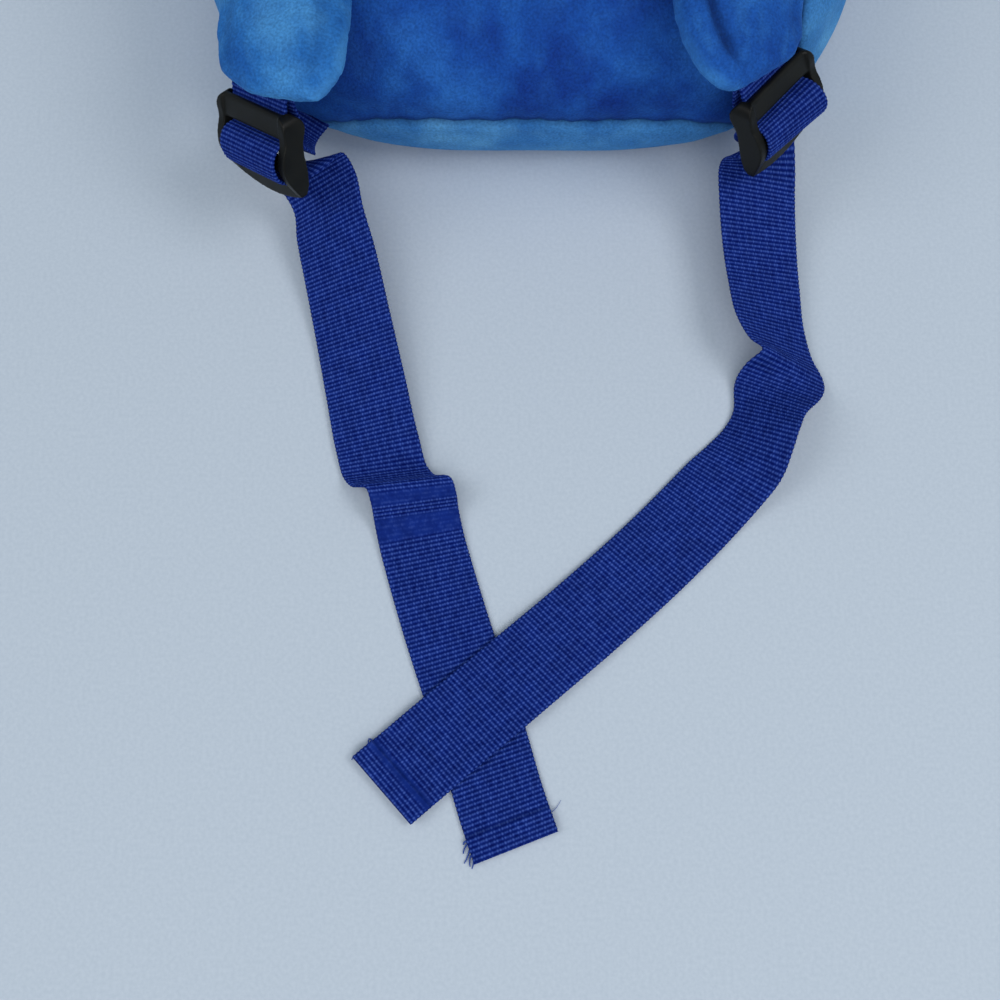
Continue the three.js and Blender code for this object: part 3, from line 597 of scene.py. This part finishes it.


# The two straps are one cloth: the left copy is paler with painted sheen and the right copy darker with
# painted shade, where their pile leans differently to the light.
strap_plush = {
    "left": plush("strap_plush_left", colour(24, 82, 158), colour(41, 108, 180), colour(76, 146, 205), 0.3),
    "right": plush("strap_plush_right", colour(18, 65, 145), colour(27, 83, 164), colour(60, 128, 197), 0.34),
}
strap_frames = {}
for side in ("left", "right"):
    strap_rows = np.array(STRAP_ROWS[side], float)
    strap_frames[side] = row_frames(strap_rows)
    dense = smooth_rows(strap_rows, chords(strap_rows), STRAP_SPACING)
    first, last = dense[:1].copy(), dense[-1:].copy()
    ahead = dense[-1, :3] - dense[-2, :3]
    first[:, :3] += dense[0, :3] - dense[1, :3]
    last[:, :3] += ahead / np.linalg.norm(ahead) * END_LENGTH
    for end in (first, last):
        end[:, 5:] *= END_SHARES
    dense = np.vstack([first, dense, last])
    skin_faces = tube_faces(len(dense), STRAP_SIDES)
    strap = new_piece(f"shoulder_strap_plush_{side}", sleeve_rings(dense).reshape(-1, 3), skin_faces)
    puffed(strap, FOAM_SWELL)

    fine = smooth_rows(dense, chords(dense), FINE_SPACING)
    middles, width, face = row_frames(fine)
    skin = kdtree.KDTree(len(fine) * STRAP_SIDES)
    for i, place in enumerate(sleeve_rings(fine).reshape(-1, 3)):
        skin.insert(place, i)
    skin.balance()
    points = mesh_points(strap) / MM
    nearest = np.array([skin.find(p)[1] for p in points]) // STRAP_SIDES
    offset = points - middles[nearest]
    across = (offset * width[nearest]).sum(1)
    half_width = fine[nearest, 5]
    upper = smoothstep(*UPPER_FACE, (offset * face[nearest]).sum(1) / fine[nearest, 6])
    from_top = np.linalg.norm(middles[0] - middles[nearest], axis=1)
    to_nose = np.linalg.norm(middles[-1] - middles[nearest], axis=1)
    # The stitch line and the valleys below are also darkened with painted shade, more where a valley is
    # deeper.
    shaded_crease = upper * bell(from_top - STITCH_LINE, STITCH_WIDTH)
    lift = swelled(points, STRAP_SWELLS) - STITCH_DEPTH * shaded_crease
    for edge, distance, depth, half, reach in STRAP_VALLEYS[side]:
        line = half_width - distance
        valley = upper * bell(edge * across - line, half) * smoothstep(*NOSE_FADE, to_nose)
        valley *= 1 - smoothstep(reach - VALLEY_END, reach, to_nose)
        lift -= depth * valley
        shaded_crease += depth * valley / DEEPEST_VALLEY
    set_points(strap, (points + mesh_normals(strap) * lift[:, None]) * MM)
    mark(strap, "shaded_crease", shaded_crease)
    # Painted sheen lightens a narrow rim along both edges of each strap.
    mark(strap, "rim_sheen", RIM_SHEEN_SHARE * smoothstep(*RIM_SHEEN_REACH, np.abs(across) - half_width))
    strap.data.shade_smooth()
    strap.data.materials.clear()
    strap.data.materials.append(strap_plush[side])
    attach(strap, "root")
    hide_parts(f"shoulder_strap_{side}")


# Buckles: two black ladder-lock buckles, moulded in one piece with bowed arms, a wide flat bar, a grip bar
# and an arched tab. They hang from the strap noses and lean outwards at the bag's bottom corners.
# Their edges came out of the mould slightly rounded.
BUCKLE_POSES = {
    "left": {"place": (-79.6, -137.6, 45.4), "yaw": 20, "pitch": 60.5, "roll": -62},
    "right": {"place": (70.4, -127.4, 43.7), "yaw": 26, "pitch": 69, "roll": 24.5},
}
BUCKLE_VOXEL = 0.3
BUCKLE_ROUNDINGS = 9


def moulded_plastic():
    material, tree, shader = new_material("black_plastic", {"Specular IOR Level": 0.17})
    scuffs = noise_texture(tree, 7, 4)
    tone = ramp(tree, scuffs, [(0.35, colour(12, 13, 12)), (0.7, colour(22, 23, 20))])
    dullness = ramp(tree, scuffs, [(0.3, grey(0.38)), (0.7, grey(0.55))])
    tree.links.new(tone, shader.inputs["Base Color"])
    tree.links.new(dullness, shader.inputs["Roughness"])
    bumped(tree, shader, noise_texture(tree, 0.35, 2), 0.12, 0.1)
    return material


black_plastic = moulded_plastic()
for side in ("left", "right"):
    buckle = bpy.data.objects.new(f"ladder_lock_{side}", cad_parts[f"buckle_{side}"].data.copy())
    bpy.context.scene.collection.objects.link(buckle)
    even = buckle.modifiers.new("even", "REMESH")
    even.mode = "VOXEL"
    even.voxel_size = BUCKLE_VOXEL * MM
    rounded = buckle.modifiers.new("rounded", "SMOOTH")
    rounded.iterations = BUCKLE_ROUNDINGS
    rounded.factor = 0.5
    settled(buckle)
    buckle.data.shade_smooth()
    buckle.data.materials.clear()
    buckle.data.materials.append(black_plastic)
    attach(buckle, "root")
    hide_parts(f"buckle_{side}")


# Strap loops: a short loop of webbing sewn into each strap nose, which goes round the buckle's anchor bar.
# Dark blue polypropylene, woven in ribs across its width; most of it hides behind the flat bar.
WEBBING_WIDTH = 25
UPPER_FACE_OUT = 0.55
UNDER_FACE_OUT = 0.48
RIB_PITCH = 1.28
RIB_HEIGHT = 0.22
UNDER_RIB_HEIGHT = 0.2
YARN_GROUP = 2.34
YARN_HEIGHT = 0.05
SELVEDGE_FROM = 0.955
SELVEDGE_THINNED = 0.55
SELVEDGE_SCALLOP = 0.15
SELVEDGE_OUT = 0.05
PRESSED_SHARE = 0.85
PRESSED_EDGE = 0.6
HEM_HEIGHT = 1.1
HEM_EDGE = (-0.5, 0.1)
HEM_GROOVE = 0.1
HEM_GROOVE_PAST = 0.5
HEM_GROOVE_WIDTH = 0.4
HEM_ROUNDING = 1.3
RIB_STEPS = 4
ACROSS_STEPS = 56
UNDER_STEPS = 7

# Rows in a buckle's own frame: along it, out of its face, lean of the width.
LOOP_ROWS = [
    (4.8, -4.3, 0), (2.4, -3.65, 0), (0.2, -3.05, 0), (-0.9, -2.8, 0), (-2.5, -3.0, 0),
    (-3.4, -4.3, 0), (-3.2, -5.8, 0), (-1.9, -6.8, 0), (0.4, -7.0, 0), (3.6, -6.8, 0),
]
LOOP_SHIFT = {"left": -3, "right": 4}
LOOP_SPREAD = 1.0


def buckle_rows(rows, side, shift=0):
    """Rows of a buckle's own frame in the bag's frame: middle, plan direction and tilt of the width."""
    pose = BUCKLE_POSES[side]
    turned = Matrix.Identity(3)
    for angle, axis in ((pose["yaw"], "Z"), (pose["pitch"], "X"), (pose["roll"], "Y")):
        turned = turned @ Matrix.Rotation(math.radians(angle), 3, axis)
    placed = []
    for along, out, lean in rows:
        middle = turned @ Vector((shift, along, out)) + Vector(pose["place"])
        width = turned @ Vector((math.cos(math.radians(lean)), 0, math.sin(math.radians(lean))))
        placed.append((*middle, math.degrees(math.atan2(width.y, width.x)), math.degrees(math.asin(width.z))))
    return placed


def woven_band(name, rows, hem=0, pressed=()):
    """Webbing through these rows: ribs, scalloped edges, places pressed flat and a hem at its far end."""
    rows = np.array(rows, float)
    dense = smooth_rows(rows, chords(rows), RIB_PITCH / RIB_STEPS)
    middles, width, face = row_frames(dense)
    along = np.concatenate([[0], np.cumsum(chords(dense))])
    to_end = (along[-1] - along)[:, None]
    outside = np.concatenate([[0], np.cumsum(chords(middles + face * 0.6))])
    rib = 0.5 + 0.5 * np.cos(2 * np.pi * outside / RIB_PITCH)[:, None]
    spot = np.linspace(-1, 1, ACROSS_STEPS + 1)[None]
    half = WEBBING_WIDTH / 2 + SELVEDGE_OUT - SELVEDGE_SCALLOP * (1 - rib)
    across = spot * half
    staggered = np.cos(np.pi * outside / RIB_PITCH)[:, None] * np.cos(4 * np.pi * across / YARN_GROUP)
    flat = np.zeros_like(to_end)
    for low, high in pressed:
        begun = smoothstep(low - PRESSED_EDGE, low + PRESSED_EDGE, to_end)
        flat += begun * (1 - smoothstep(high - PRESSED_EDGE, high + PRESSED_EDGE, to_end))
    relief = RIB_HEIGHT * (rib - 0.5) + YARN_HEIGHT * staggered
    top = UPPER_FACE_OUT + relief * (1 - PRESSED_SHARE * flat)
    top = top * (1 - SELVEDGE_THINNED * smoothstep(SELVEDGE_FROM, 1, np.abs(spot)))
    under_spot = np.linspace(1, -1, UNDER_STEPS + 1)[None]
    under = np.repeat(-UNDER_FACE_OUT - UNDER_RIB_HEIGHT * rib, UNDER_STEPS + 1, 1)
    under = under * (1 - SELVEDGE_THINNED * (np.abs(under_spot) > 0.99))
    if hem:
        doubled = HEM_HEIGHT * (1 - smoothstep(*HEM_EDGE, to_end - hem))
        top = top + doubled - HEM_GROOVE * bell(to_end - hem - HEM_GROOVE_PAST, HEM_GROOVE_WIDTH)
        turned = np.clip(HEM_ROUNDING - to_end, 0, HEM_ROUNDING) / HEM_ROUNDING
        rounding = np.sqrt(np.clip(1 - turned**2, 0.02, 1))
        centre = (top.mean(1, keepdims=True) + under.mean(1, keepdims=True)) / 2
        top = centre + (top - centre) * rounding
        under = centre + (under - centre) * rounding
    place = np.concatenate([across, under_spot * half], 1)
    out = np.concatenate([top, under], 1)
    rings = middles[:, None] + width[:, None] * place[..., None] + face[:, None] * out[..., None]
    count, sides = rings.shape[:2]
    band = new_piece(name, rings.reshape(-1, 3), [f[::-1] for f in tube_faces(count, sides)])
    mark(band, "pressed", np.repeat(flat, sides, 1))
    woven = np.stack([place, np.repeat(outside[:, None], sides, 1)], -1).reshape(-1, 2) * MM
    uv = band.data.uv_layers.new(name="weave")
    corners = np.empty(len(band.data.loops), np.int32)
    band.data.loops.foreach_get("vertex_index", corners)
    uv.data.foreach_set("uv", woven[corners].astype(np.float32).ravel())
    return band, along[-1]


def ribbed_webbing():
    """Ribs of staggered yarns in groups of three, set out by the webbing's length and width, with painted
    highlights on the raised yarns and painted shade between them.
    """
    surface = {"Roughness": 0.75, "Specular IOR Level": 0.04}
    material, tree, shader = new_material("ribbed_webbing", surface)

    def sums(operation, first, second=None):
        node = tree.nodes.new("ShaderNodeMath")
        node.operation = operation
        for socket, value in zip(node.inputs, (first, second)):
            if hasattr(value, "is_output"):
                tree.links.new(value, socket)
            elif value is not None:
                socket.default_value = value
        return node.outputs[0]

    def wave(place, pitch):
        return sums("COSINE", sums("MULTIPLY", place, 2 * math.pi / (pitch * MM)))

    weave = tree.nodes.new("ShaderNodeUVMap")
    weave.uv_map = "weave"
    split = tree.nodes.new("ShaderNodeSeparateXYZ")
    tree.links.new(weave.outputs["UV"], split.inputs[0])
    across, length = split.outputs["X"], split.outputs["Y"]
    yarns = sums("ADD", wave(across, YARN_GROUP / 2), wave(across, YARN_GROUP / 3))
    staggered = sums("MULTIPLY", sums("MULTIPLY", wave(length, 2 * RIB_PITCH), yarns), 0.13)
    groups = sums("MULTIPLY", wave(across, YARN_GROUP), 0.07)
    ribs = sums("ADD", sums("MULTIPLY", wave(length, RIB_PITCH), 0.3), groups)
    plain = sums("SUBTRACT", 1, sums("MULTIPLY", marked(tree, "pressed"), PRESSED_SHARE))
    uneven = sums("MULTIPLY", sums("SUBTRACT", noise_texture(tree, 1.6, 2), 0.5), 0.5)
    raised = sums("ADD", sums("ADD", sums("MULTIPLY", sums("ADD", ribs, staggered), plain), 0.5), uneven)
    # Painted highlights on the raised yarns and painted shade in the hollows between them, from the same
    # relief as the bump.
    rib_highlight_and_shade = [(0.05, colour(0, 12, 86)), (0.5, colour(18, 43, 123)), (1, colour(62, 88, 168))]
    tone = ramp(tree, raised, rib_highlight_and_shade)
    worn = ramp(tree, noise_texture(tree, 4, 3), [(0.3, (0.82, 0.82, 0.84, 1)), (0.7, (1.12, 1.12, 1.1, 1))])
    tree.links.new(mixed(tree, "MULTIPLY", 1, tone, worn), shader.inputs["Base Color"])
    first = bumped(tree, shader, raised, 0.5, 0.25)
    bumped(tree, shader, noise_texture(tree, 0.3, 1), 0.2, 0.1, first)
    return material


webbing_material = ribbed_webbing()
for side in ("left", "right"):
    middles, width, face = (column[-3] for column in strap_frames[side])
    end_row = STRAP_ROWS[side][-3]
    inside = middles + width * LOOP_SHIFT[side]
    ends = [(*(inside + face * out), *end_row[3:5]) for out in (LOOP_SPREAD, -LOOP_SPREAD)]
    loop_rows = [ends[0], *buckle_rows(LOOP_ROWS, side), ends[1]]
    loop, loop_length = woven_band(f"strap_loop_webbing_{side}", loop_rows)
    loop.data.materials.append(webbing_material)
    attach(loop, "root")
    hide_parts(f"strap_loop_{side}")


# Webbing tails: one length of the same webbing on each side, sewn into the corner of the bag's seam.
# It climbs through the slot beside the flat bar, folds over the grip bar, leaves under the tab and lies loose
# on the floor, kinked where it was last folded. The free ends are turned over and stitched.
CORNER_ANGLE = math.radians(58)
CORNER_STEP = 0.05
SEWN_DISTANCES = (-6, 0, 2.5)
THREADING_SHIFT = {"left": 0.7, "right": -0.6}
HEM_LENGTH = 7.5
YARN_STEPS = 12
YARN_SIDES = 6
YARN_ROOT = 0.3
YARN_REST = 0.4
YARN_TAPER = 0.55

# Places where old folds left the webbing smooth, by their distance from the free end.
PRESSED_PLACES = {"left": [(93, 100), (104.5, 108)], "right": [(5.5, 8.5)]}

# Rows in the buckle's own frame: along it, out of its face, lean of the width.
THREADING_ROWS = {
    "left": [
        (-9.6, -5.4, 0), (-6.4, -2.8, 0), (-5.1, 0.4, 0), (-5.4, 3.4, 0), (-7.8, 5.7, 0),
        (-11.2, 6.3, 0), (-14.4, 5.4, 0), (-16.4, 3.0, 0), (-17.4, -0.4, 0), (-18.4, -4.2, 0),
    ],
    "right": [
        (-9.6, -5.4, 0), (-6.4, -2.8, 0), (-5.1, 0.4, 0), (-5.4, 3.6, 3), (-7.8, 6.3, 6),
        (-11.2, 7.0, 7), (-14.4, 5.8, 5), (-16.4, 3.0, 2), (-17.4, -0.4, 0), (-18.4, -4.2, 0),
    ],
}

# Rows on the way to the free end: middle of the webbing, plan direction and tilt of its width.
TAIL_ROWS = {
    "left": [
        (-66.8, -141.4, 22.4, 8, 30),
        (-62.4, -147.0, 18.6, 14, 34),
        (-60.8, -155.8, 14.4, 14, 30),
        (-58.2, -166.0, 10.4, 13, 24),
        (-54.4, -183.0, 6.6, 13, 20),
        (-49.8, -204.0, 4.2, 13, 13),
        (-45.8, -222.0, 2.5, 12, 5),
        (-43.4, -230.0, 1.7, 8, 1),
        (-41.0, -233.2, 4.2, 7, 0),
        (-35.8, -235.6, 8.8, 7, 0),
        (-34.7, -238.9, 7.3, 8, 0),
        (-33.9, -243.8, 2.6, 9, 0),
        (-32.2, -251.5, 1.2, 12, 0),
        (-30.4, -258.0, 0.9, 13.5, 0),
        (-25.6, -274.0, 0.8, 16, 0),
        (-15.0, -306.0, 0.8, 18, 0),
        (-8.8, -327.0, 0.8, 20, 0),
        (-5.0, -338.0, 0.8, 21, 0),
    ],
    "right": [
        (69.0, -133.8, 19.6, 22, -16),
        (68.2, -141.8, 16.4, -2, -15),
        (68.4, -149.0, 14.0, -2, -16),
        (69.0, -160.0, 11.0, 1, -18),
        (70.0, -173.0, 9.6, 0, -22),
        (71.8, -187.0, 9.2, -3, -28),
        (74.5, -194.0, 8.6, -7, -32),
        (77.6, -198.8, 8.3, -13, -33),
        (75.2, -202.5, 6.3, -20, -6),
        (70.6, -209.0, 7.4, -30, 27),
        (68.6, -216.0, 9.1, -33, 40),
        (66.0, -222.0, 7.9, -34, 35),
        (62.6, -227.5, 5.4, -34, 21),
        (56.5, -234.0, 2.4, -35, 6),
        (40.0, -251.0, 1.1, -40, 0),
        (16.0, -273.0, 1.8, -43, 0),
        (-4.0, -290.0, 2.7, -44, 0),
        (-26.0, -308.5, 2.7, -46, 0),
        (-34.4, -315.6, 2.3, -47, 0),
        (-42.6, -322.5, 2.0, -48, 0),
    ],
}

# Loose yarns at the corners of a hem: which edge, how far back, their heading, length, curl and radius.
LOOSE_YARNS = {
    "left": [
        (-1, 6.6, 175, 1.7, 90, 0.34),
        (-1, 6.0, 225, 3.2, 40, 0.3),
        (-1, 4.6, 262, 4.4, -25, 0.28),
        (-1, 2.8, 240, 3.4, 45, 0.28),
        (-1, 1.4, 275, 2.6, -30, 0.26),
        (1, 5.5, 35, 4.6, 30, 0.1),
    ],
    "right": [(-1, 7.0, 110, 1.7, 70, 0.34), (-1, 6.0, 140, 1.5, -60, 0.3), (-1, 0.8, 200, 1.5, 40, 0.26)],
}


def loose_yarns(name, hem_end, yarns):
    """Thin yarns that stand out of the hem's edge and settle on the floor."""
    middle, forward, width = hem_end
    points, faces = [], []
    for edge, back, heading, length, curl, radius in yarns:
        place = middle + width * edge * (WEBBING_WIDTH / 2 - YARN_ROOT) - forward * back
        steps = np.linspace(0, 1, YARN_STEPS)
        bearing = np.radians(heading + curl * steps)
        strides = np.stack([np.cos(bearing), np.sin(bearing), 0 * steps], -1)
        path = place + np.cumsum(strides, axis=0) * length / YARN_STEPS
        path[:, 2] = YARN_REST + (place[2] - YARN_REST) * (1 - steps) ** 2
        ahead = np.gradient(path, axis=0)
        sideways = np.cross(ahead, [0, 0, 1])
        sideways /= np.linalg.norm(sideways, axis=1, keepdims=True)
        up = np.cross(sideways, ahead)
        up /= np.linalg.norm(up, axis=1, keepdims=True)
        turn = np.linspace(0, 2 * np.pi, YARN_SIDES, endpoint=False)[:, None]
        thick = (radius * (1 - YARN_TAPER * steps))[:, None, None]
        tube = path[:, None] + thick * (sideways[:, None] * np.cos(turn) + up[:, None] * np.sin(turn))
        faces += tube_faces(YARN_STEPS, YARN_SIDES, len(points) * YARN_STEPS * YARN_SIDES)
        points.append(tube.reshape(-1, 3))
    return new_piece(name, np.vstack(points), faces)


for side in ("left", "right"):
    corner = -math.pi + CORNER_ANGLE if side == "left" else -CORNER_ANGLE
    near = np.array([corner - CORNER_STEP, corner, corner + CORNER_STEP])
    before, here, after = seam_place(near, 0, seam_height(near[1]))
    tangent = (after - before) / np.linalg.norm(after - before)
    outward = np.array([tangent[1], -tangent[0], 0])
    seam_turn = math.degrees(math.atan2(tangent[1], tangent[0]))
    sewn = [(*(here + outward * distance), seam_turn, 0) for distance in SEWN_DISTANCES]
    threaded = buckle_rows(THREADING_ROWS[side], side, THREADING_SHIFT[side])
    tail_rows = [*sewn, *threaded, *TAIL_ROWS[side]]
    tail, tail_length = woven_band(f"webbing_tail_{side}", tail_rows, HEM_LENGTH, PRESSED_PLACES[side])
    tail.data.materials.append(webbing_material)
    end_rows = np.array(TAIL_ROWS[side][-2:])
    forward = end_rows[1, :3] - end_rows[0, :3]
    forward /= np.linalg.norm(forward)
    hem_end = (end_rows[1, :3], forward, row_frames(end_rows)[1][1])
    yarns = loose_yarns(f"loose_yarns_{side}", hem_end, LOOSE_YARNS[side])
    yarns.data.materials.append(webbing_material)
    for piece in (tail, yarns):
        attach(piece, "root")
    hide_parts(f"webbing_{side}")


# Stage: a plain pale floor, a soft even sky and three broad lamps, one on each side of the bag
# and one beyond the webbing tails. The camera stands over the tails and looks down at the bag's bottom.
FLOOR_HALF = 4
FLOOR_COLOURS = [(0.3, colour(188, 200, 213)), (0.7, colour(196, 207, 219))]
SKY_COLOUR = (0.76, 0.91, 1, 1)
SKY_STRENGTH = 0.34
LAMP_COLOUR = (1, 0.97, 0.965)
LAMP_TARGET = (0, -0.2, 0)
CAMERA_PLACE = (-0.0095, -0.3452, 0.4001)
CAMERA_TILT = math.radians(15)
CAMERA_LENS = 50.4
CAMERA_SENSOR = 36

# Lamps: name, place, width in metres, power in watts.
LAMPS = [
    ("lamp_left", (-1.0, -0.35, 1.1), 0.9, 5.6),
    ("lamp_right", (0.85, -0.3, 1.1), 0.6, 6.1),
    ("lamp_front", (0.05, -1.3, 1.2), 1.2, 8.6),
]

floor_corners = [(x * FLOOR_HALF, y * FLOOR_HALF, 0) for x, y in ((-1, -1), (1, -1), (1, 1), (-1, 1))]
floor_mesh = bpy.data.meshes.new("floor")
floor_mesh.from_pydata(floor_corners, [], [(0, 1, 2, 3)])
floor = bpy.data.objects.new("floor", floor_mesh)
bpy.context.scene.collection.objects.link(floor)
floor_surface = {"Roughness": 0.9, "Specular IOR Level": 0.1}
floor_material, floor_tree, floor_shader = new_material("pale_floor", floor_surface)
floor_tone = ramp(floor_tree, noise_texture(floor_tree, 1.1, 2), FLOOR_COLOURS)
floor_tree.links.new(floor_tone, floor_shader.inputs["Base Color"])
floor.data.materials.append(floor_material)

world = bpy.data.worlds.new("even_sky")
world.use_nodes = True
sky = world.node_tree.nodes["Background"]
sky.inputs["Color"].default_value = SKY_COLOUR
sky.inputs["Strength"].default_value = SKY_STRENGTH
bpy.context.scene.world = world

for name, place, size, power in LAMPS:
    lamp = bpy.data.objects.new(name, bpy.data.lights.new(name, "AREA"))
    lamp.data.size = size
    lamp.data.energy = power
    lamp.data.color = LAMP_COLOUR
    lamp.location = place
    lamp.rotation_euler = (Vector(LAMP_TARGET) - Vector(place)).to_track_quat("-Z", "Y").to_euler()
    bpy.context.scene.collection.objects.link(lamp)

camera = bpy.data.objects.new("camera", bpy.data.cameras.new("camera"))
camera.data.lens = CAMERA_LENS
camera.data.sensor_width = CAMERA_SENSOR
camera.location = CAMERA_PLACE
camera.rotation_euler = (CAMERA_TILT, 0, 0)
camera.data.clip_start = 0.01
bpy.context.scene.collection.objects.link(camera)
bpy.context.scene.camera = camera
bpy.context.scene.view_settings.view_transform = "Standard"

bpy.context.view_layer.update()
